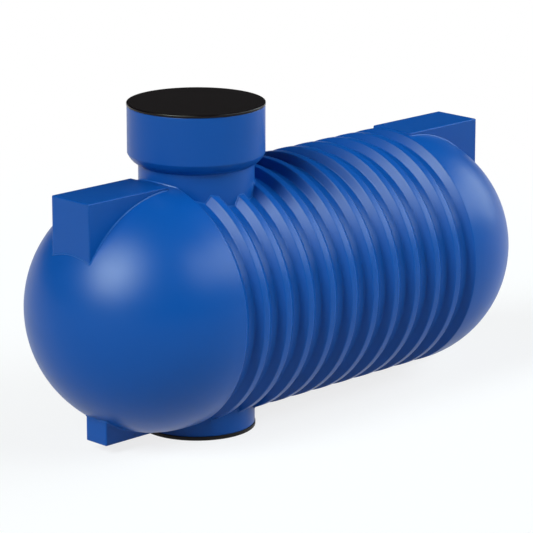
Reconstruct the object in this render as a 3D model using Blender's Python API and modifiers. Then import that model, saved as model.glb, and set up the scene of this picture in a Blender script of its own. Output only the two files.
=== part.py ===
"""A buried grease trap: a ribbed plastic tank on its side between two domed ends.

An access neck with a collar and a lift-off lid stands over one end, and a sump well hangs below it.
Moulded blocks on the domes take the inlet and the outlet pipe, and moulded feet steady the tank.
X runs along the tank from inlet to outlet, and Z is up from the level that the sump stands on.
"""

import math

import bmesh
import bpy

# Tank body, in metres
TANK_RADIUS = 0.600
WALL = 0.010
INLET_BAND = 0.056
OUTLET_BAND = 0.022
DOME_FLANGE = 0.010
SUMP_DROP = 0.050

# Ribbed wall, from one groove to the next
GROOVE_COUNT = 11
RIB_PITCH = 0.147
CREST_WIDTH = 0.035
GENTLE_SLOPE = 0.047
STEEP_SLOPE = 0.024
GROOVE_DEPTH = 0.040

# Access neck and, below it, the sump well, both of one size of tube
TUBE_SETBACK = 0.304
TUBE_RADIUS = 0.277
NECK_RISE = 0.045

# Collar and lid
COLLAR_LIP = 0.006
COLLAR_STEP = 0.052
SHOULDER_RISE = 0.052
SHOULDER_BULGE = 0.005
COLLAR_HEIGHT = 0.230
LID_OVERHANG = 0.002
LID_THICKNESS = 0.013
LID_EDGE = 0.004
SPIGOT_CLEARANCE = 0.005
SPIGOT_DEPTH = 0.025
SPIGOT_WALL = 0.008

# Plate under the sump well
BASE_OVERHANG = 0.003
BASE_THICKNESS = 0.019
BASE_EDGE = 0.003

# Pipe blocks on the upper side of the domes
PORT_WIDTH = 0.260
PORT_SETBACK = 0.106
PORT_RISE = 0.0015
PORT_ROUND = 0.006

# Feet on the lower side of the domes
FOOT_WIDTH = 0.141
FOOT_SETBACK = 0.246
FOOT_DROP = 0.003
FOOT_ROUND = 0.005

# How far the dome falls under a block's roof, and the block's sill over it, where they open
ROOF_DROP = 0.012
SILL_HEIGHT = 0.008

# Fits and fineness
GAP = 0.0003
TURN_STEPS = 32
DOME_STEPS = 9
SHOULDER_STEPS = 4
ROUND_STEPS = 2
WELD = 0.0001

FLOOR_WIDTH = RIB_PITCH - CREST_WIDTH - GENTLE_SLOPE - STEEP_SLOPE
FLOOR_RADIUS = TANK_RADIUS - GROOVE_DEPTH
BODY_LENGTH = INLET_BAND + GROOVE_COUNT * RIB_PITCH - CREST_WIDTH + OUTLET_BAND
INLET_TANGENT = -BODY_LENGTH / 2
OUTLET_TANGENT = BODY_LENGTH / 2
INLET_SEAM = INLET_TANGENT + DOME_FLANGE
OUTLET_SEAM = OUTLET_TANGENT - DOME_FLANGE
AXIS_HEIGHT = TANK_RADIUS + SUMP_DROP
NECK_X = INLET_TANGENT + TUBE_SETBACK
NECK_TOP = AXIS_HEIGHT + TANK_RADIUS + NECK_RISE
COLLAR_RADIUS = TUBE_RADIUS + COLLAR_STEP

BLUE = (0.020, 0.130, 0.420, 1.0)
BLACK = (0.012, 0.010, 0.011, 1.0)


def remove_startup_objects():
    for obj in list(bpy.data.objects):
        bpy.data.objects.remove(obj, do_unlink=True)


def new_collection(name):
    collection = bpy.data.collections.new(name)
    bpy.context.scene.collection.children.link(collection)
    return collection


def plastic(name, colour, roughness):
    material = bpy.data.materials.new(name)
    material.use_nodes = True
    shader = material.node_tree.nodes["Principled BSDF"]
    shader.inputs["Base Color"].default_value = colour
    shader.inputs["Roughness"].default_value = roughness
    shader.inputs["Metallic"].default_value = 0.0
    material.diffuse_color = colour
    return material


def add_object(name, mesh, collection, material=None):
    obj = bpy.data.objects.new(name, mesh)
    collection.objects.link(obj)
    if material:
        mesh.materials.append(material)
    return obj


def as_cutter(obj):
    obj.hide_render = True
    obj.display_type = "WIRE"
    return obj


def profile_mesh(name, points):
    """A chain of edges in the XZ plane, ready to be turned."""
    mesh = bpy.data.meshes.new(name)
    edges = [(i, i + 1) for i in range(len(points) - 1)]
    mesh.from_pydata([(x, 0.0, z) for x, z in points], edges, [])
    return mesh


def turn(obj, axis):
    """Turns the profile all the way round an axis."""
    screw = obj.modifiers.new("Turn", "SCREW")
    screw.axis = axis
    screw.steps = TURN_STEPS
    screw.render_steps = TURN_STEPS
    screw.use_merge_vertices = True
    screw.merge_threshold = WELD
    screw.use_smooth_shade = True


def thicken_inwards(obj):
    solidify = obj.modifiers.new("Wall", "SOLIDIFY")
    solidify.thickness = WALL
    solidify.offset = -1.0
    solidify.use_even_offset = True


def cut(obj, cutter):
    boolean = obj.modifiers.new("Cut " + cutter.name, "BOOLEAN")
    boolean.operation = "DIFFERENCE"
    boolean.solver = "EXACT"
    boolean.object = cutter


def round_edges(obj, radius):
    bevel = obj.modifiers.new("Round", "BEVEL")
    bevel.width = radius
    bevel.segments = ROUND_STEPS
    bevel.limit_method = "ANGLE"


def box(name, low, high, collection, material=None):
    mesh = bpy.data.meshes.new(name)
    shape = bmesh.new()
    bmesh.ops.create_cube(shape, size=1.0)
    for vert in shape.verts:
        for i in range(3):
            vert.co[i] = (low[i] + high[i]) / 2 + vert.co[i] * (high[i] - low[i])
    shape.to_mesh(mesh)
    shape.free()
    return add_object(name, mesh, collection, material)


def upright_cylinder(name, radius, bottom, top, collection):
    """A closed cylinder about the neck's axis, with the same facets as the turned pieces."""
    profile = [(0.0, top), (radius, top), (radius, bottom), (0.0, bottom)]
    obj = add_object(name, profile_mesh(name, profile), collection)
    obj.location.x = NECK_X
    turn(obj, "Z")
    return as_cutter(obj)


def lying_cylinder(name, radius, half_length, collection):
    """A closed cylinder about the tank's axis."""
    profile = [(half_length, 0.0), (half_length, radius), (-half_length, radius), (-half_length, 0.0)]
    obj = add_object(name, profile_mesh(name, profile), collection)
    obj.location.z = AXIS_HEIGHT
    turn(obj, "X")
    return as_cutter(obj)


def dome_points(tangent, side, radius):
    """The quarter circle from the tangent line out to the tip, as (x, height over the axis)."""
    points = []
    for step in range(DOME_STEPS + 1):
        angle = math.radians(90) * step / DOME_STEPS
        height = 0.0 if step == DOME_STEPS else radius * math.cos(angle)
        points.append((tangent + side * radius * math.sin(angle), height))
    return points


def dome_reach(height):
    """How far past the tangent line the dome has fallen to this height over the axis."""
    return math.sqrt(TANK_RADIUS**2 - height**2)


def dome_height(reach):
    """The dome's height over the axis this far past the tangent line."""
    return math.sqrt(TANK_RADIUS**2 - reach**2)


def groove_floor(index):
    """Where a groove's floor starts, has its middle and ends along X."""
    start = INLET_TANGENT + INLET_BAND + index * RIB_PITCH + GENTLE_SLOPE
    return start, start + FLOOR_WIDTH / 2, start + FLOOR_WIDTH


def ring_points(index):
    """The outer side of a ring, its crest between the middles of two grooves, as (x, height over the axis)."""
    if index < GROOVE_COUNT:
        low, middle, _ = groove_floor(index)
        points = [(middle - GAP / 2, FLOOR_RADIUS), (low, FLOOR_RADIUS), (low - GENTLE_SLOPE, TANK_RADIUS)]
    else:
        points = [(OUTLET_SEAM - GAP / 2, TANK_RADIUS)]
    if index > 0:
        _, middle, high = groove_floor(index - 1)
        points += [(high + STEEP_SLOPE, TANK_RADIUS), (high, FLOOR_RADIUS), (middle + GAP / 2, FLOOR_RADIUS)]
    else:
        points.append((INLET_SEAM + GAP / 2, TANK_RADIUS))
    return points


def cut_where_crossed(obj, tube_hole, low, high):
    """Cuts the hole for the neck and the sump well if it crosses the wall between two places along X."""
    if low < NECK_X + TUBE_RADIUS and high > NECK_X - TUBE_RADIUS:
        cut(obj, tube_hole)


def make_half_ring(name, points, other_side, tube_hole, collection, material):
    """One side of a ring of the ribbed wall, from top to bottom."""
    ring = add_object(name, profile_mesh(name, points), collection, material)
    ring.location.z = AXIS_HEIGHT
    turn(ring, "X")
    thicken_inwards(ring)
    cut(ring, other_side)
    cut_where_crossed(ring, tube_hole, points[-1][0], points[0][0])


def make_rings(tube_hole, parts, cutters, material):
    """The ribbed wall, one ring a crest, each in a left and a right side."""
    bottom = AXIS_HEIGHT - BODY_LENGTH
    top = AXIS_HEIGHT + BODY_LENGTH
    left = box("left_side", (-BODY_LENGTH, -GAP / 2, bottom), (BODY_LENGTH, BODY_LENGTH, top), cutters)
    right = box("right_side", (-BODY_LENGTH, -BODY_LENGTH, bottom), (BODY_LENGTH, GAP / 2, top), cutters)
    for index in range(GROOVE_COUNT + 1):
        name = f"barrel_ring_{index + 1:02d}"
        points = ring_points(index)
        make_half_ring(name + "_left", points, as_cutter(right), tube_hole, parts, material)
        make_half_ring(name + "_right", points, as_cutter(left), tube_hole, parts, material)


def make_dome(name, side, tangent, collection, material):
    """A domed end with its short straight flange, open at the rim."""
    points = dome_points(tangent, side, TANK_RADIUS)
    points.insert(0, (tangent - side * (DOME_FLANGE - GAP / 2), TANK_RADIUS))
    if side > 0:
        points.reverse()
    dome = add_object(name, profile_mesh(name, points), collection, material)
    dome.location.z = AXIS_HEIGHT
    turn(dome, "X")
    thicken_inwards(dome)
    return dome


def make_dome_form(name, side, tangent, collection):
    """The dome's outer form as a solid, one gap larger, that fits a block or a foot to it."""
    radius = TANK_RADIUS + GAP
    points = dome_points(tangent, side, radius)
    points[:0] = [(tangent - side * radius, 0.0), (tangent - side * radius, radius)]
    if side > 0:
        points.reverse()
    form = add_object(name, profile_mesh(name, points), collection)
    form.location.z = AXIS_HEIGHT
    turn(form, "X")
    return as_cutter(form)


def span(a, b):
    return min(a, b), max(a, b)


def make_block(name, side, up, tangent, sizes, dome, form, parts, cutters, material):
    """A hollow box moulded on a dome, open into the tank: side is -1 or 1 along X, up is -1 or 1."""
    width, setback, rise, rounding = sizes
    reach = TANK_RADIUS - setback
    level = TANK_RADIUS + rise
    half_width = width / 2
    low_x, high_x = span(tangent, tangent + side * reach)
    low_z, high_z = span(AXIS_HEIGHT, AXIS_HEIGHT + up * level)
    block = box(name, (low_x, -half_width, low_z), (high_x, half_width, high_z), parts, material)
    round_edges(block, rounding)

    inner_width = half_width - WALL
    roof = level - WALL
    start = dome_reach(roof - ROOF_DROP)
    low_x, high_x = span(tangent + side * start, tangent + side * (reach - WALL))
    low_z, high_z = span(AXIS_HEIGHT, AXIS_HEIGHT + up * roof)
    hollow = box(name + "_hollow", (low_x, -inner_width, low_z), (high_x, inner_width, high_z), cutters)
    cut(block, as_cutter(hollow))
    cut(block, form)

    sill = dome_height(reach - WALL) + SILL_HEIGHT
    low_z, high_z = span(AXIS_HEIGHT + up * sill, AXIS_HEIGHT + up * roof)
    opening = box(name + "_opening", (low_x, -inner_width, low_z), (high_x, inner_width, high_z), cutters)
    cut(dome, as_cutter(opening))


def make_end(title, side, tangent, tube_hole, parts, cutters, material):
    """A domed end with its pipe block and its foot."""
    dome = make_dome(title + "_dome", side, tangent, parts, material)
    low, high = span(tangent - side * DOME_FLANGE, tangent + side * TANK_RADIUS)
    cut_where_crossed(dome, tube_hole, low, high)
    form = make_dome_form(title + "_dome_form", side, tangent, cutters)
    port = (PORT_WIDTH, PORT_SETBACK, PORT_RISE, PORT_ROUND)
    foot = (FOOT_WIDTH, FOOT_SETBACK, FOOT_DROP, FOOT_ROUND)
    make_block(title + "_block", side, 1, tangent, port, dome, form, parts, cutters, material)
    make_block(title + "_foot", side, -1, tangent, foot, dome, form, parts, cutters, material)


def make_tube(name, bottom, top, bore, collection, material):
    """A straight tube that ends in the tank's wall, shaped to the tank's inside."""
    profile = [(TUBE_RADIUS, top), (TUBE_RADIUS, bottom)]
    tube = add_object(name, profile_mesh(name, profile), collection, material)
    tube.location.x = NECK_X
    turn(tube, "Z")
    thicken_inwards(tube)
    cut(tube, bore)
    return tube


def make_collar(collection, material):
    """The wide top of the neck: a lip on the neck, a bulging shoulder and a straight wall."""
    bottom = NECK_TOP + GAP
    shoulder = bottom + COLLAR_LIP
    points = [(TUBE_RADIUS, bottom)]
    for step in range(SHOULDER_STEPS + 1):
        share = step / SHOULDER_STEPS
        bulge = SHOULDER_BULGE * math.sin(math.pi * share)
        points.append(
            (
                TUBE_RADIUS + share * COLLAR_STEP + bulge,
                shoulder + share * SHOULDER_RISE - bulge,
            )
        )
    points.append((COLLAR_RADIUS, shoulder + SHOULDER_RISE + COLLAR_HEIGHT))
    points.reverse()
    collar = add_object("neck_collar", profile_mesh("neck_collar", points), collection, material)
    collar.location.x = NECK_X
    turn(collar, "Z")
    thicken_inwards(collar)
    return points[0][1]


def make_lid(seat, collection, material):
    """A flat lid with a rounded edge and a ring below that keeps it central in the collar."""
    radius = COLLAR_RADIUS + LID_OVERHANG
    bottom = seat + GAP
    top = bottom + LID_THICKNESS
    spigot = COLLAR_RADIUS - WALL - SPIGOT_CLEARANCE
    points = [(0.0, top)]
    for step in range(ROUND_STEPS + 1):
        angle = math.radians(90) * step / ROUND_STEPS
        points.append(
            (
                radius - LID_EDGE * (1 - math.sin(angle)),
                top - LID_EDGE * (1 - math.cos(angle)),
            )
        )
    points += [
        (radius, bottom),
        (spigot, bottom),
        (spigot, bottom - SPIGOT_DEPTH),
        (spigot - SPIGOT_WALL, bottom - SPIGOT_DEPTH),
        (spigot - SPIGOT_WALL, bottom),
        (0.0, bottom),
    ]
    lid = add_object("lid", profile_mesh("lid", points), collection, material)
    lid.location.x = NECK_X
    turn(lid, "Z")


def make_base(collection, material):
    """The dark plate that closes the sump well and stands on the ground."""
    radius = TUBE_RADIUS + BASE_OVERHANG
    points = [
        (0.0, BASE_THICKNESS),
        (radius - BASE_EDGE, BASE_THICKNESS),
        (radius, BASE_THICKNESS - BASE_EDGE),
        (radius, BASE_EDGE),
        (radius - BASE_EDGE, 0.0),
        (0.0, 0.0),
    ]
    base = add_object("sump_base", profile_mesh("sump_base", points), collection, material)
    base.location.x = NECK_X
    turn(base, "Z")


def main():
    remove_startup_objects()
    parts = new_collection("grease_trap")
    cutters = new_collection("cutters")
    blue = plastic("blue_plastic", BLUE, 0.45)
    black = plastic("black_plastic", BLACK, 0.40)

    tube_hole = upright_cylinder("tube_hole", TUBE_RADIUS + GAP, 0.0, NECK_TOP, cutters)
    bore = lying_cylinder("tank_bore", FLOOR_RADIUS - WALL, BODY_LENGTH, cutters)

    make_rings(tube_hole, parts, cutters, blue)
    make_end("inlet", -1, INLET_TANGENT, tube_hole, parts, cutters, blue)
    make_end("outlet", 1, OUTLET_TANGENT, tube_hole, parts, cutters, blue)

    make_tube("neck_tube", AXIS_HEIGHT, NECK_TOP, bore, parts, blue)
    make_tube("sump_tube", BASE_THICKNESS + GAP, AXIS_HEIGHT, bore, parts, blue)
    seat = make_collar(parts, blue)
    make_lid(seat, parts, black)
    make_base(parts, black)


main()
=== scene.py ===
"""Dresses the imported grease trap: its moulded shell, seam beads, lid and base plate, on a stage.

The file is laid out as an add-on with a panel of its own, and is run as a script.
"""

import math

import bmesh
import bpy
from mathutils import Matrix, Vector


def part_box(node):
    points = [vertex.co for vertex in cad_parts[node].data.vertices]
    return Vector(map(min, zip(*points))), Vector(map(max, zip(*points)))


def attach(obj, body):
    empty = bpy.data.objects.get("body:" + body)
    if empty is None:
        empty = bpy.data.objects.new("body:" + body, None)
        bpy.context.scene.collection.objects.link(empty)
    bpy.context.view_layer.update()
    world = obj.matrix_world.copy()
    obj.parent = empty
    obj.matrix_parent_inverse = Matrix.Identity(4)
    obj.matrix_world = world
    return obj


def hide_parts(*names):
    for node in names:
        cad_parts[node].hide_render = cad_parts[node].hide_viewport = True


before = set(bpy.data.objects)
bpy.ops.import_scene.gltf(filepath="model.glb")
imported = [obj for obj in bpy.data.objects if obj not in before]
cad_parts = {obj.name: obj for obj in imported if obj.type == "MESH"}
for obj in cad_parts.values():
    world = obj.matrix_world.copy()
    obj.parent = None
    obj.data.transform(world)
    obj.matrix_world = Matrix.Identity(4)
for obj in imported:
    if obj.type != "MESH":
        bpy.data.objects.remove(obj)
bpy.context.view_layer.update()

bl_info = {
    "name": "Grease trap",
    "version": (1, 0, 0),
    "blender": (4, 5, 0),
    "location": "3D View > Sidebar > Grease trap",
    "description": "Models a moulded plastic grease trap around its packed frame",
    "category": "Object",
}

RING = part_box("barrel_ring_07_left")
INLET_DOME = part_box("inlet_dome")
OUTLET_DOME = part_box("outlet_dome")
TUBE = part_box("neck_tube")
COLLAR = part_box("neck_collar")
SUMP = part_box("sump_tube")
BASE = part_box("sump_base")
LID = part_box("lid")
NECK_X = (TUBE[0].x + TUBE[1].x) / 2
MOULDED_NODES = [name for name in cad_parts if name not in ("lid", "sump_base")]

# Each block and foot: its node, its end of the tank, and whether it is on top or below
BLOCKS = (
    ("inlet_block", -1, 1),
    ("outlet_block", 1, 1),
    ("inlet_foot", -1, -1),
    ("outlet_foot", 1, -1),
)

# Points closer than WELD are merged, and edges sharper than SHARP stay sharp in the shading
WELD = 0.00002
SHARP = math.radians(30)

# Steps of a dome and of a small rounding, outside and in the hollow, and the share of the
# outside's facets that the hollow has in one turn
DOME_STEPS = 26
ROUND_STEPS = 3
HOLLOW_DOME_STEPS = 18
HOLLOW_ROUND_STEPS = 2
HOLLOW_FACETS = 0.75

# The largest share of a side that the rounding of its corner takes
ROUND_SHARE = 0.45

# How far over or under the tank's axis the tubes begin, and the blocks and feet
TUBE_START = 0.2
BLOCK_START = 0.1

# How far the hollows run on over the collar's rim and under the sump well
PAST_RIM = 0.1
PAST_WELL = 0.05

# The collar: the steps of its shoulder, the radii of its roundings, and half of the angle by
# which its wall turns at the shoulder
SHOULDER_STEPS = 8
RIM_ROUND = 0.002
SHOULDER_ROUND = 0.003
HALF_SHOULDER = math.radians(22.5)

# The lid and the base plate: the steps of their roundings, and the radii under the lid
LID_ROUND_STEPS = 5
BASE_ROUND_STEPS = 4
LID_UNDER_ROUND = 0.001
LID_RING_ROUND = 0.0015
LID_RING_ROOT = 0.003

# Hollow corners sharper than SEAM_ANGLE get a bead, and its points closer than SEAM_WELD are
# merged. Corners nearer to the start of a dome than a block's rounding and STEP_MARGIN get none.
SEAM_ANGLE = math.radians(25)
SEAM_WELD = 0.0015
STEP_MARGIN = 0.002
BEAD_RESOLUTION = 1

# Noises in the plastics: scale and detail
SHELL_MOTTLE = (2.6, 3.0)
SHELL_CLOUDS = (14.0, 3.0)
SHELL_PEEL = (120.0, 2.0)
SEAM_MOTTLE = (30.0, 2.0)
COVER_MOTTLE = (5.0, 3.0)
COVER_GRAIN = (180.0, 2.0)

# How far the colours vary each way, and how far the shell's roughness varies in all
SHELL_VARIES = 0.03
SEAM_VARIES = 0.1
COVER_VARIES = 0.1
ROUGHNESS_VARIES = 0.06

# Bumps: strength and depth
PEEL_BUMP = (0.12, 0.0005)
GRAIN_BUMP = (0.15, 0.0004)

# Samples of the node that makes the shell's edges look rounded
BEVEL_SAMPLES = 8

# The band inside the lid's edge over which it turns from matte to smooth
RIM_BAND = (0.012, 0.006)

# The colour sockets of a Mix node, and its colour output
MIX_FIRST, MIX_SECOND, MIX_RESULT = 6, 7, 2

# The stage: a round floor with a low wall, which turns plain white from FADE_START to FADE_END,
# and the faint light from all round
FLOOR_SIDES = 128
FLOOR_RADIUS = 40.0
FLOOR_LEVEL = -0.0005
WALL_HEIGHT = 3.0
FADE_START = 2.5
FADE_END = 6.0
WORLD_COLOUR = (0.92, 0.96, 1.0, 1.0)
WORLD_STRENGTH = 0.02

# Each lamp: its name, azimuth, elevation and the angle that it fills in degrees, its strength,
# its colour, and whether it lights surfaces or only shows in their gloss
COOL = (0.87, 1.0, 1.03)
PALE_GREEN = (0.94, 1.03, 0.80)
LAMPS = (
    ("left_lamp", -177, 40, 30, 2.72, COOL, True),
    ("left_glint", -175, 44, 50, 4.50, PALE_GREEN, False),
    ("front_lamp", -68, 39, 30, 1.14, COOL, True),
    ("right_lamp", -38, 31, 30, 1.16, COOL, True),
    ("far_lamp", -10, 20, 32, 1.20, COOL, True),
)
LAMP_DISTANCE = 6.0

# The camera: its place, where it looks in degrees round and over the ground, and its lens
CAMERA_PLACE = (-10.6596, -10.7444, 4.6977)
CAMERA_TURN = 45.3816
CAMERA_RISE = -14.8342
CAMERA_LENS = 215.21
CAMERA_SENSOR = 36.0
CAMERA_REACH = 200.0


def length(name, description, default):
    return bpy.props.FloatProperty(
        name=name, description=description, default=default, min=0.0, unit="LENGTH", precision=4
    )


def count(name, description, default):
    return bpy.props.IntProperty(name=name, description=description, default=default, min=1)


def colour(name, description, default):
    return bpy.props.FloatVectorProperty(
        name=name,
        description=description,
        default=default,
        size=3,
        min=0.0,
        max=1.0,
        subtype="COLOR",
    )


def share(name, description, default):
    return bpy.props.FloatProperty(
        name=name, description=description, default=default, min=0.0, max=1.0, subtype="FACTOR"
    )


class TrapShape(bpy.types.PropertyGroup):
    """Sizes of the moulded shell, its seam beads, its lid and its base plate."""

    tank_radius: length("Tank radius", "From the tank's axis to the crests", RING[1].y)
    axis_height: length(
        "Axis height", "The tank's axis over the ground", (RING[0].z + RING[1].z) / 2
    )
    wall: length("Wall", "Thickness of the moulded wall", 0.010)
    groove_count: count("Grooves", "Number of grooves round the tank", 11)
    rib_pitch: length("Rib pitch", "From one groove to the next", 0.147)
    inlet_band: length("Inlet band", "Plain wall from the inlet dome to the first groove", 0.056)
    crest_width: length("Crest width", "Flat top of a rib", 0.035)
    gentle_slope: length("Gentle slope", "Run of the slope that faces the outlet", 0.047)
    steep_slope: length("Steep slope", "Run of the slope that faces the inlet", 0.024)
    groove_depth: length("Groove depth", "From the crests to the groove floors", 0.040)
    roof_drop: length(
        "Roof drop", "How far the dome falls under a block's roof where the block opens", 0.012
    )
    sill_height: length("Sill", "Height of a block's sill over the dome", 0.008)
    crest_round: length("Crest rounding", "Radius of a rib's upper edges", 0.0045)
    floor_round: length("Floor rounding", "Radius at the foot of a rib", 0.006)
    block_round: length("Block rounding", "Radius of the edges of the blocks and feet", 0.006)
    seam_round: length("Seam rounding", "Radius of the bead where moulded forms meet", 0.0045)
    tube_radius: length(
        "Tube radius", "Outside of the neck and of the sump well", (TUBE[1].x - TUBE[0].x) / 2
    )
    collar_radius: length(
        "Collar radius", "Outside of the collar", (COLLAR[1].x - COLLAR[0].x) / 2
    )
    collar_lip: length("Collar lip", "Straight part of the collar under its shoulder", 0.006)
    shoulder_rise: length("Shoulder rise", "Height of the collar's sloping shoulder", 0.052)
    shoulder_bulge: length("Shoulder bulge", "How far the shoulder swells out", 0.005)
    lid_thickness: length("Lid thickness", "The lid over the collar's rim", 0.013)
    lid_round: length("Lid rounding", "Radius of the lid's upper edge", 0.007)
    lid_ring_wall: length("Lid ring", "Thickness of the ring under the lid", 0.008)
    lid_ring_gap: length("Ring clearance", "Between the ring under the lid and the collar", 0.005)
    base_round: length("Base rounding", "Radius of the base plate's edges", 0.003)
    turn_steps: count("Turn steps", "Facets in one turn", 128)


class TrapLooks(bpy.types.PropertyGroup):
    """Colours and finishes."""

    shell_colour: colour("Shell", "Moulded blue plastic", (0.0012, 0.074, 0.334))
    # The seam beads' blue is paler than the shell's: a painted highlight along the seams
    seam_highlight_colour: colour("Seams", "The blue on the thin beads of the seams", (0.010, 0.100, 0.380))
    cover_colour: colour("Lid and base", "Black plastic", (0.0060, 0.0034, 0.0038))
    floor_colour: colour("Floor", "Pale studio floor, as it is seen", (0.90, 0.90, 0.90))
    bounce_colour: colour("Bounce", "The floor, in the light it throws back", (0.57, 0.57, 0.57))
    floor_glow: share("Floor glow", "How much of the floor near the tank is plain white", 0.80)
    edge_softness: length("Edge softness", "Radius at which moulded edges look rounded", 0.008)
    shell_roughness: share("Shell roughness", "0 is glossy and 1 is matte", 0.36)
    cover_roughness: share("Lid roughness", "0 is glossy and 1 is matte", 0.50)
    rim_roughness: share("Rim roughness", "The lid's rim, rubbed smoother by hands", 0.25)
    shell_gloss: share("Shell gloss", "Specular level of the blue plastic", 0.19)
    cover_gloss: share("Lid gloss", "Specular level of the black plastic", 0.17)


# Modelling


def deselect():
    bpy.ops.object.select_all(action="DESELECT")


def choose(obj):
    deselect()
    obj.select_set(True)
    bpy.context.view_layer.objects.active = obj


def drawn_line(name, points):
    """A chain of edges, drawn point by point."""
    deselect()
    bpy.ops.mesh.primitive_plane_add(size=WELD, location=points[0])
    line = bpy.context.object
    line.name = name
    bpy.ops.object.mode_set(mode="EDIT")
    bpy.ops.mesh.select_mode(type="VERT")
    bpy.ops.mesh.select_all(action="SELECT")
    bpy.ops.mesh.merge(type="CENTER")
    for start, end in zip(points, points[1:]):
        step = Vector(end) - Vector(start)
        bpy.ops.mesh.extrude_region_move(TRANSFORM_OT_translate={"value": step})
    bpy.ops.object.mode_set(mode="OBJECT")
    bpy.ops.object.transform_apply(location=True, rotation=True, scale=True)
    return line


def turned(name, points, centre, axis, steps):
    """A closed shape turned from a drawn line that starts and ends on the axis."""
    shape = drawn_line(name, points)
    bpy.ops.object.mode_set(mode="EDIT")
    bpy.ops.mesh.select_all(action="SELECT")
    bpy.ops.mesh.spin(steps=steps, angle=math.tau, center=centre, axis=axis)
    bpy.ops.mesh.select_all(action="SELECT")
    bpy.ops.mesh.remove_doubles(threshold=WELD)
    bpy.ops.mesh.normals_make_consistent(inside=False)
    bpy.ops.object.mode_set(mode="OBJECT")
    return shape


def turned_lying(name, points, axis_height, steps):
    """A shape turned about the tank's axis: each point is a place along it and a distance."""
    placed = [(point[0], 0.0, axis_height + point[1]) for point in points]
    return turned(name, placed, (0, 0, axis_height), (1, 0, 0), steps)


def turned_upright(name, points, steps):
    """A shape turned about the neck's axis: each point is a distance from it and a height."""
    placed = [(NECK_X + point[0], 0.0, point[1]) for point in points]
    return turned(name, placed, (NECK_X, 0, 0), (0, 0, 1), steps)


def rounded_box(name, low, high, radius, segments):
    """A box from corner to corner with its edges rounded."""
    deselect()
    middle = (Vector(low) + Vector(high)) / 2
    size = Vector(high) - Vector(low)
    bpy.ops.mesh.primitive_cube_add(size=1.0, location=middle, scale=size)
    shape = bpy.context.object
    shape.name = name
    bpy.ops.object.transform_apply(location=True, rotation=True, scale=True)
    bpy.ops.object.mode_set(mode="EDIT")
    bpy.ops.mesh.select_all(action="SELECT")
    bpy.ops.mesh.bevel(offset=radius, segments=segments, affect="EDGES")
    bpy.ops.object.mode_set(mode="OBJECT")
    return shape


def combine(body, others, operation):
    """Joins the other shapes to the body, or cuts them out of it, and uses them up."""
    for other in others:
        choose(body)
        boolean = body.modifiers.new(operation, "BOOLEAN")
        boolean.operation = operation
        boolean.solver = "EXACT"
        boolean.object = other
        bpy.ops.object.modifier_apply(modifier=boolean.name)
        bpy.data.objects.remove(other)


def complete(obj, body, material, nodes):
    """Shades a piece, paints it and puts it in the place of its CAD nodes."""
    choose(obj)
    bpy.ops.object.shade_smooth_by_angle(angle=SHARP)
    weighted = obj.modifiers.new("Even shading", "WEIGHTED_NORMAL")
    weighted.keep_sharp = True
    bpy.ops.object.modifier_apply(modifier=weighted.name)
    obj.data.materials.clear()
    obj.data.materials.append(material)
    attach(obj, body)
    if nodes:
        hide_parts(*nodes)
    deselect()


# Outlines


def arc(centre_x, radius, start, end, steps):
    """Points on a circle round a place on the axis, from one angle to another in degrees."""
    points = []
    for step in range(steps + 1):
        angle = math.radians(start + (end - start) * step / steps)
        points.append(Vector((centre_x + radius * math.cos(angle), radius * math.sin(angle))))
    return points


def rounded_corner(before, corner, after, radius, steps):
    """The points of a corner's rounding."""
    back = before - corner
    ahead = after - corner
    most = ROUND_SHARE * min(back.length, ahead.length)
    back.normalize()
    ahead.normalize()
    half = back.angle(ahead) / 2
    reach = min(radius / math.tan(half), most)
    centre = corner + (back + ahead).normalized() * (reach / math.cos(half))
    start = corner + back * reach - centre
    sweep = start.angle_signed(corner + ahead * reach - centre)
    return [centre + Matrix.Rotation(-sweep * step / steps, 2) @ start for step in range(steps + 1)]


def rounded_line(corners, steps):
    """A line through corners, each given as a point and a radius, with the corners rounded."""
    points = []
    for index, (corner, radius) in enumerate(corners):
        if radius and 0 < index < len(corners) - 1:
            before, after = corners[index - 1][0], corners[index + 1][0]
            points += rounded_corner(before, corner, after, radius, steps)
        else:
            points.append(corner)
    return points


def offset_line(points, distance):
    """The line moved sideways, to the right of its direction."""
    moved = []
    for index, point in enumerate(points):
        sides = []
        if index > 0:
            sides.append((point - points[index - 1]).normalized())
        if index < len(points) - 1:
            sides.append((points[index + 1] - point).normalized())
        normals = [Vector((side.y, -side.x)) for side in sides]
        middle = sum(normals, Vector((0, 0))).normalized()
        moved.append(point + middle * (distance / middle.dot(normals[0])))
    return moved


def groove_corners(shape, tangent):
    """The corners of all the grooves, from the inlet end on."""
    top = shape.tank_radius
    floor = top - shape.groove_depth
    floor_width = shape.rib_pitch - shape.crest_width - shape.gentle_slope - shape.steep_slope
    corners = []
    for index in range(shape.groove_count):
        start = tangent + shape.inlet_band + index * shape.rib_pitch
        corners += [
            Vector((start, top)),
            Vector((start + shape.gentle_slope, floor)),
            Vector((start + shape.gentle_slope + floor_width, floor)),
            Vector((start + shape.gentle_slope + floor_width + shape.steep_slope, top)),
        ]
    return corners


def tank_tangents(shape):
    """Where the domes begin, at the inlet end and at the outlet end."""
    return INLET_DOME[0].x + shape.tank_radius, OUTLET_DOME[1].x - shape.tank_radius


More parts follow.
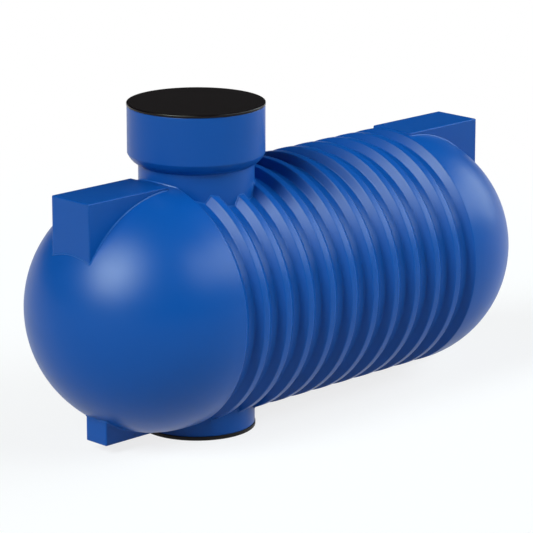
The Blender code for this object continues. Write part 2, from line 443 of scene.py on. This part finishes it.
def tank_outline(shape, inset, dome_steps, round_steps):
    """The tank's outline from the inlet dome's tip to the outlet dome's."""
    inlet, outlet = tank_tangents(shape)
    corners = groove_corners(shape, inlet)
    rounds = [shape.crest_round, shape.floor_round, shape.floor_round, shape.crest_round]
    if inset:
        ends = [Vector((tangent, shape.tank_radius)) for tangent in (inlet, outlet)]
        corners = offset_line([ends[0], *corners, ends[1]], inset)[1:-1]
        rounds = rounds[::-1]
    radius = shape.tank_radius - inset
    line = [(Vector((inlet, radius)), 0.0)]
    line += [(corner, rounds[index % len(rounds)]) for index, corner in enumerate(corners)]
    line.append((Vector((outlet, radius)), 0.0))
    points = arc(inlet, radius, 180, 90, dome_steps)[:-1]
    points += rounded_line(line, round_steps)
    points += arc(outlet, radius, 90, 0, dome_steps)[1:]
    points[0].y = points[-1].y = 0.0
    return points


def collar_outline(shape, foot):
    """The outside of the neck and collar, from the rim down to a foot inside the tank."""
    rim = COLLAR[1].z
    shoulder = COLLAR[0].z + shape.collar_lip
    step = shape.collar_radius - shape.tube_radius
    corners = [(Vector((0, rim)), 0), (Vector((shape.collar_radius, rim)), RIM_ROUND)]
    for index in range(SHOULDER_STEPS, -1, -1):
        part = index / SHOULDER_STEPS
        bulge = shape.shoulder_bulge * math.sin(math.pi * part)
        across = shape.tube_radius + part * step + bulge
        height = shoulder + part * shape.shoulder_rise - bulge
        radius = SHOULDER_ROUND if index in (0, SHOULDER_STEPS) else 0
        corners.append((Vector((across, height)), radius))
    corners += [(Vector((shape.tube_radius, foot)), 0), (Vector((0, foot)), 0)]
    return rounded_line(corners, ROUND_STEPS)


def throat_outline(shape, foot):
    """The hollow of the neck and collar, from over the rim down to a foot inside the tank."""
    bore = shape.tube_radius - shape.wall
    wide = shape.collar_radius - shape.wall
    above = COLLAR[1].z + PAST_RIM
    turn = shape.wall * math.tan(HALF_SHOULDER)
    shoulder = COLLAR[0].z + shape.collar_lip + turn
    outline = [(0, above), (wide, above), (wide, shoulder + shape.shoulder_rise), (bore, shoulder)]
    return outline + [(bore, foot), (0, foot)]


def rod_outline(radius, low, high):
    """A plain round rod, from its underside to its top."""
    return [(0, low), (radius, low), (radius, high), (0, high)]


# The moulded shell


def block_corners(shape, node, side, up):
    """The corners of a block or foot, which reaches from the dome's seam to its flat face."""
    low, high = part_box(node)
    tangent = tank_tangents(shape)[side > 0]
    inside = shape.axis_height + up * BLOCK_START
    if side > 0:
        low.x = tangent
    else:
        high.x = tangent
    if up > 0:
        low.z = inside
    else:
        high.z = inside
    return low, high


def hollow_corners(shape, node, side, up):
    """The corners of the hollow in a block or foot, from its sill on the dome to its roof."""
    low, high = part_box(node)
    tangent = tank_tangents(shape)[side > 0]
    reach = abs((high.x if side > 0 else low.x) - tangent) - shape.wall
    roof = abs((high.z if up > 0 else low.z) - shape.axis_height) - shape.wall
    start = math.sqrt(shape.tank_radius**2 - (roof - shape.roof_drop) ** 2)
    sill = math.sqrt(shape.tank_radius**2 - reach**2) + shape.sill_height
    ends = sorted((tangent + side * start, tangent + side * reach))
    levels = sorted((shape.axis_height + up * sill, shape.axis_height + up * roof))
    return (ends[0], low.y + shape.wall, levels[0]), (ends[1], high.y - shape.wall, levels[1])


def outer_forms(shape):
    """The outside of the tank, and those of the neck and collar, sump well, blocks and feet."""
    height = shape.axis_height
    steps = shape.turn_steps
    outline = tank_outline(shape, 0.0, DOME_STEPS, ROUND_STEPS)
    tank = turned_lying("moulded_shell", outline, height, steps)
    neck = collar_outline(shape, height + TUBE_START)
    well = rod_outline(shape.tube_radius, SUMP[0].z, height - TUBE_START)
    forms = [turned_upright("neck_form", neck, steps), turned_upright("well_form", well, steps)]
    for node, side, up in BLOCKS:
        low, high = block_corners(shape, node, side, up)
        forms.append(rounded_box(node + "_form", low, high, shape.block_round, ROUND_STEPS))
    return tank, forms


def inner_forms(shape):
    """The hollow of the tank, and those of the neck and collar, sump well, blocks and feet."""
    height = shape.axis_height
    steps = round(shape.turn_steps * HOLLOW_FACETS)
    outline = tank_outline(shape, shape.wall, HOLLOW_DOME_STEPS, HOLLOW_ROUND_STEPS)
    hollow = turned_lying("tank_hollow", outline, height, steps)
    neck = throat_outline(shape, height + TUBE_START)
    bore = shape.tube_radius - shape.wall
    well = rod_outline(bore, SUMP[0].z - PAST_WELL, height - TUBE_START)
    forms = [turned_upright("neck_hollow", neck, steps), turned_upright("well_hollow", well, steps)]
    radius = shape.block_round / 2
    for node, side, up in BLOCKS:
        low, high = hollow_corners(shape, node, side, up)
        forms.append(rounded_box(node + "_hollow", low, high, radius, HOLLOW_ROUND_STEPS))
    return hollow, forms


def hollow_edges(mesh):
    """The edges where two faces meet in a hollow corner."""
    shared = [edge for edge in mesh.edges if len(edge.link_faces) == 2]
    return [edge for edge in shared if edge.calc_face_angle_signed(0.0) < -SEAM_ANGLE]


def copy_seam_lines(shell, shape):
    """Leaves a copy of the lines where the moulded forms meet, to be made beads.

    The low steps at the blocks' inner ends are left out.
    """
    tangents = tank_tangents(shape)
    choose(shell)
    bpy.ops.object.mode_set(mode="EDIT")
    bpy.ops.mesh.select_mode(type="EDGE")
    bpy.ops.mesh.select_all(action="DESELECT")
    mesh = bmesh.from_edit_mesh(shell.data)
    for edge in hollow_edges(mesh):
        middle = (edge.verts[0].co.x + edge.verts[1].co.x) / 2
        away = min(abs(middle - tangent) for tangent in tangents)
        edge.select = away > shape.block_round + STEP_MARGIN
    bmesh.update_edit_mesh(shell.data)
    bpy.ops.mesh.duplicate()
    bpy.ops.mesh.separate(type="SELECTED")
    bpy.ops.object.mode_set(mode="OBJECT")
    lines = next(obj for obj in bpy.context.selected_objects if obj is not shell)
    lines.name = "seam_lines"
    choose(lines)
    bpy.ops.object.mode_set(mode="EDIT")
    bpy.ops.mesh.select_all(action="SELECT")
    bpy.ops.mesh.delete(type="ONLY_FACE")
    bpy.ops.mesh.select_all(action="SELECT")
    bpy.ops.mesh.remove_doubles(threshold=SEAM_WELD)
    bpy.ops.object.mode_set(mode="OBJECT")


# Operators for the pieces


class GREASETRAP_OT_shell(bpy.types.Operator):
    """Moulds the tank, neck, collar, sump well, blocks and feet as one hollow shell"""

    bl_idname = "greasetrap.shell"
    bl_label = "Moulded shell"
    bl_options = {"REGISTER", "UNDO"}

    def execute(self, context):
        shape = context.scene.trap_shape
        shell, forms = outer_forms(shape)
        combine(shell, forms, "UNION")
        copy_seam_lines(shell, shape)
        hollow, hollows = inner_forms(shape)
        combine(hollow, hollows, "UNION")
        combine(shell, [hollow], "DIFFERENCE")
        blue = shell_plastic(context.scene.trap_looks)
        complete(shell, "tank", blue, MOULDED_NODES)
        return {"FINISHED"}


class GREASETRAP_OT_seams(bpy.types.Operator):
    """Lays thin round beads on the lines where the moulded forms meet"""

    bl_idname = "greasetrap.seams"
    bl_label = "Seam beads"
    bl_options = {"REGISTER", "UNDO"}

    def execute(self, context):
        beads = bpy.data.objects.get("seam_lines")
        if beads is None:
            raise RuntimeError("The moulded shell comes before its seam beads")
        choose(beads)
        beads.name = "seam_beads"
        bpy.ops.object.convert(target="CURVE")
        beads.data.bevel_depth = context.scene.trap_shape.seam_round
        beads.data.bevel_resolution = BEAD_RESOLUTION
        beads.data.use_fill_caps = True
        bpy.ops.object.convert(target="MESH")
        complete(beads, "tank", seam_plastic(context.scene.trap_looks), [])
        return {"FINISHED"}


class GREASETRAP_OT_lid(bpy.types.Operator):
    """Turns the flat lid with its rounded edge and the ring that keeps it in place"""

    bl_idname = "greasetrap.lid"
    bl_label = "Lid"
    bl_options = {"REGISTER", "UNDO"}

    def execute(self, context):
        shape = context.scene.trap_shape
        low, high = LID
        radius = (high.x - low.x) / 2
        under = high.z - shape.lid_thickness
        ring = shape.collar_radius - shape.wall - shape.lid_ring_gap
        corners = [
            (Vector((0, high.z)), 0),
            (Vector((radius, high.z)), shape.lid_round),
            (Vector((radius, under)), LID_UNDER_ROUND),
            (Vector((ring, under)), 0),
            (Vector((ring, low.z)), LID_RING_ROUND),
            (Vector((ring - shape.lid_ring_wall, low.z)), LID_RING_ROUND),
            (Vector((ring - shape.lid_ring_wall, under)), LID_RING_ROOT),
            (Vector((0, under)), 0),
        ]
        points = rounded_line(corners, LID_ROUND_STEPS)
        lid = turned_upright("lid_cover", points, shape.turn_steps)
        complete(lid, "lid", cover_plastic(context.scene.trap_looks), ["lid"])
        return {"FINISHED"}


class GREASETRAP_OT_base(bpy.types.Operator):
    """Turns the round plate that closes the sump well"""

    bl_idname = "greasetrap.base"
    bl_label = "Base plate"
    bl_options = {"REGISTER", "UNDO"}

    def execute(self, context):
        shape = context.scene.trap_shape
        low, high = BASE
        radius = (high.x - low.x) / 2
        corners = [
            (Vector((0, high.z)), 0),
            (Vector((radius, high.z)), shape.base_round),
            (Vector((radius, low.z)), shape.base_round),
            (Vector((0, low.z)), 0),
        ]
        points = rounded_line(corners, BASE_ROUND_STEPS)
        base = turned_upright("base_plate", points, shape.turn_steps)
        black = cover_plastic(context.scene.trap_looks)
        complete(base, "tank", black, ["sump_base"])
        return {"FINISHED"}


# Materials


class Wire:
    """A shader socket that can stand in an expression: each operation adds its Math node."""

    def __init__(self, tree, socket):
        self.tree = tree
        self.socket = socket

    def math(self, operation, *values):
        return self.node("ShaderNodeMath", {"operation": operation}, dict(enumerate(values)))

    def node(self, kind, settings=None, inputs=None, output=0):
        """Adds any other node: its settings are set first, then its sockets' values or links."""
        made = self.tree.nodes.new(kind)
        for name, value in (settings or {}).items():
            setattr(made, name, value)
        for name, value in (inputs or {}).items():
            if isinstance(value, Wire):
                self.tree.links.new(value.socket, made.inputs[name])
            else:
                made.inputs[name].default_value = value
        return Wire(self.tree, made.outputs[output])

    def __add__(self, other):
        return self.math("ADD", self, other)

    def __mul__(self, other):
        return self.math("MULTIPLY", self, other)

    __radd__ = __add__
    __rmul__ = __mul__


def new_material(name):
    """A material with its shader and the object's own coordinates."""
    material = bpy.data.materials.new(name)
    material.use_nodes = True
    tree = material.node_tree
    place = Wire(tree, None).node("ShaderNodeTexCoord", output="Object")
    return material, tree.nodes["Principled BSDF"], place


def connect(wire, socket):
    wire.tree.links.new(wire.socket, socket)


def vector_math(operation, *values, output="Vector"):
    """Adds a Vector Math node. Its first value is a wire."""
    inputs = dict(enumerate(values))
    return values[0].node("ShaderNodeVectorMath", {"operation": operation}, inputs, output)


def noise(place, size):
    """A noise, from its scale and detail."""
    scale, detail = size
    inputs = {"Vector": place, "Scale": scale, "Detail": detail}
    return place.node("ShaderNodeTexNoise", None, inputs, "Fac")


def bumped(height, size, under=None):
    """Normals bumped by a height, over the plain normals or over other ones."""
    strength, distance = size
    inputs = {"Strength": strength, "Distance": distance, "Height": height}
    if under is not None:
        inputs["Normal"] = under
    return height.node("ShaderNodeBump", None, inputs, "Normal")


def mixed_colour(factor, first, second):
    """A colour between two, by a value from 0 to 1."""
    inputs = {"Factor": factor, MIX_FIRST: (*first, 1.0), MIX_SECOND: (*second, 1.0)}
    return factor.node("ShaderNodeMix", {"data_type": "RGBA"}, inputs, MIX_RESULT)


def mottled(place, size, base, varies):
    """A colour that is a little darker and a little lighter by turns."""
    middle = Vector(base)
    return mixed_colour(noise(place, size), middle * (1 - varies), middle * (1 + varies))


def shell_plastic(looks):
    """Satin blue polyethylene with a faint mottle, a fine orange peel and soft edges."""
    material, shader, place = new_material("moulded_blue")
    blue = mottled(place, SHELL_MOTTLE, looks.shell_colour, SHELL_VARIES)
    connect(blue, shader.inputs["Base Color"])
    smoothest = looks.shell_roughness - ROUGHNESS_VARIES / 2
    roughness = noise(place, SHELL_CLOUDS) * ROUGHNESS_VARIES + smoothest
    connect(roughness, shader.inputs["Roughness"])
    radius = {"Radius": looks.edge_softness}
    soft = place.node("ShaderNodeBevel", {"samples": BEVEL_SAMPLES}, radius)
    peel = bumped(noise(place, SHELL_PEEL), PEEL_BUMP, soft)
    connect(peel, shader.inputs["Normal"])
    shader.inputs["Specular IOR Level"].default_value = looks.shell_gloss
    return material


def seam_plastic(looks):
    """The shell's blue plastic, a little paler on the thin beads: a painted highlight along the
    seams.
    """
    material, shader, place = new_material("seam_blue_painted_highlight")
    blue = mottled(place, SEAM_MOTTLE, looks.seam_highlight_colour, SEAM_VARIES)
    connect(blue, shader.inputs["Base Color"])
    shader.inputs["Roughness"].default_value = looks.shell_roughness
    shader.inputs["Specular IOR Level"].default_value = looks.shell_gloss
    return material


def cover_plastic(looks):
    """Matte black plastic with a fine grain, smoother round the lid's rim."""
    found = bpy.data.materials.get("black_cover")
    if found:
        return found
    material, shader, place = new_material("black_cover")
    black = mottled(place, COVER_MOTTLE, looks.cover_colour, COVER_VARIES)
    connect(black, shader.inputs["Base Color"])
    grain = bumped(noise(place, COVER_GRAIN), GRAIN_BUMP)
    connect(grain, shader.inputs["Normal"])
    offset = vector_math("SUBTRACT", place, (NECK_X, 0.0, 0.0))
    across = vector_math("MULTIPLY", offset, (1.0, 1.0, 0.0))
    distance = vector_math("LENGTH", across, output="Value")
    edge = (LID[1].x - LID[0].x) / 2
    inputs = {
        "Value": distance,
        "From Min": edge - RIM_BAND[0],
        "From Max": edge - RIM_BAND[1],
        "To Min": looks.cover_roughness,
        "To Max": looks.rim_roughness,
    }
    roughness = place.node("ShaderNodeMapRange", None, inputs)
    connect(roughness, shader.inputs["Roughness"])
    shader.inputs["Specular IOR Level"].default_value = looks.cover_gloss
    return material


# Stage


def seen_ray(wire):
    """1 for the rays of the camera, of gloss and of glass, and 0 for light."""
    camera = wire.node("ShaderNodeLightPath", output="Is Camera Ray")
    gloss = wire.node("ShaderNodeLightPath", output="Is Glossy Ray")
    glass = wire.node("ShaderNodeLightPath", output="Is Transmission Ray")
    return wire.math("MINIMUM", camera + gloss + glass, 1.0)


def floor_material(looks):
    """Pale floor that keeps the shadow near the object and is plain white far from it."""
    material, shader, place = new_material("studio_floor")
    nodes = material.node_tree.nodes
    nodes.remove(shader)
    distance = vector_math("LENGTH", place, output="Value")
    inputs = {"Value": distance, "From Min": FADE_START, "From Max": FADE_END}
    inputs["To Min"] = looks.floor_glow
    far = place.node("ShaderNodeMapRange", {"interpolation_type": "SMOOTHSTEP"}, inputs)
    seen = seen_ray(place)
    tone = mixed_colour(seen, looks.bounce_colour, looks.floor_colour)
    pale = place.node("ShaderNodeBsdfDiffuse", None, {"Color": tone})
    white = place.node("ShaderNodeEmission", None, {"Color": (1, 1, 1, 1), "Strength": 1.0})
    mix = place.node("ShaderNodeMixShader", None, {0: far * seen, 1: pale, 2: white})
    connect(mix, nodes["Material Output"].inputs["Surface"])
    return material


def add_floor(looks):
    deselect()
    bpy.ops.mesh.primitive_circle_add(
        vertices=FLOOR_SIDES,
        radius=FLOOR_RADIUS,
        fill_type="NGON",
        location=(0, 0, FLOOR_LEVEL),
    )
    floor = bpy.context.object
    floor.name = "studio_floor"
    bpy.ops.object.transform_apply(location=True, rotation=True, scale=True)
    bpy.ops.object.mode_set(mode="EDIT")
    bpy.ops.mesh.select_mode(type="EDGE")
    bpy.ops.mesh.select_all(action="SELECT")
    bpy.ops.mesh.region_to_loop()
    bpy.ops.mesh.extrude_region_move(TRANSFORM_OT_translate={"value": (0, 0, WALL_HEIGHT)})
    bpy.ops.object.mode_set(mode="OBJECT")
    floor.data.materials.append(floor_material(looks))


def direction(azimuth, elevation):
    """A direction, from its angles round and over the ground in degrees."""
    turn, rise = math.radians(azimuth), math.radians(elevation)
    level = math.cos(rise)
    return Vector((math.cos(turn) * level, math.sin(turn) * level, math.sin(rise)))


def add_lamp(name, azimuth, elevation, softness, strength, tint, lights):
    """A distant soft lamp, as LAMPS lists it."""
    deselect()
    bpy.ops.object.light_add(type="SUN")
    lamp = bpy.context.object
    lamp.name = name
    lamp.data.angle = math.radians(softness)
    lamp.data.energy = strength
    lamp.data.color = tint
    lamp.visible_diffuse = lights
    towards = direction(azimuth, elevation)
    lamp.rotation_euler = towards.to_track_quat("Z", "Y").to_euler()
    lamp.location = towards * LAMP_DISTANCE


def add_camera():
    """The camera where the photograph was taken from."""
    deselect()
    bpy.ops.object.camera_add(location=CAMERA_PLACE)
    camera = bpy.context.object
    camera.data.sensor_width = CAMERA_SENSOR
    camera.data.lens = CAMERA_LENS
    ahead = direction(CAMERA_TURN, CAMERA_RISE)
    camera.rotation_euler = (-ahead).to_track_quat("Z", "Y").to_euler()
    camera.data.clip_end = CAMERA_REACH
    bpy.context.scene.camera = camera


def set_world():
    world = bpy.data.worlds.new("studio")
    bpy.context.scene.world = world
    world.use_nodes = True
    background = world.node_tree.nodes["Background"]
    background.inputs["Color"].default_value = WORLD_COLOUR
    background.inputs["Strength"].default_value = WORLD_STRENGTH


class GREASETRAP_OT_stage(bpy.types.Operator):
    """Sets up the pale floor, the soft lamps and the camera"""

    bl_idname = "greasetrap.stage"
    bl_label = "Stage"
    bl_options = {"REGISTER", "UNDO"}

    def execute(self, context):
        add_floor(context.scene.trap_looks)
        set_world()
        for lamp in LAMPS:
            add_lamp(*lamp)
        add_camera()
        context.scene.view_settings.view_transform = "Standard"
        return {"FINISHED"}


class GREASETRAP_PT_panel(bpy.types.Panel):
    """The grease trap's sizes, colours and steps"""

    bl_idname = "GREASETRAP_PT_panel"
    bl_label = "Grease trap"
    bl_space_type = "VIEW_3D"
    bl_region_type = "UI"
    bl_category = "Grease trap"

    def draw(self, context):
        for group in (context.scene.trap_shape, context.scene.trap_looks):
            for name in group.__annotations__:
                self.layout.prop(group, name)
        for operator in OPERATORS:
            self.layout.operator(operator.bl_idname)


OPERATORS = (
    GREASETRAP_OT_shell,
    GREASETRAP_OT_seams,
    GREASETRAP_OT_lid,
    GREASETRAP_OT_base,
    GREASETRAP_OT_stage,
)
CLASSES = (TrapShape, TrapLooks, *OPERATORS, GREASETRAP_PT_panel)


def register():
    for cls in CLASSES:
        bpy.utils.register_class(cls)
    bpy.types.Scene.trap_shape = bpy.props.PointerProperty(type=TrapShape)
    bpy.types.Scene.trap_looks = bpy.props.PointerProperty(type=TrapLooks)


def unregister():
    del bpy.types.Scene.trap_looks
    del bpy.types.Scene.trap_shape
    for cls in reversed(CLASSES):
        bpy.utils.unregister_class(cls)


def main():
    register()
    bpy.ops.greasetrap.shell()
    bpy.ops.greasetrap.seams()
    bpy.ops.greasetrap.lid()
    bpy.ops.greasetrap.base()
    bpy.ops.greasetrap.stage()


if __name__ == "__main__":
    main()
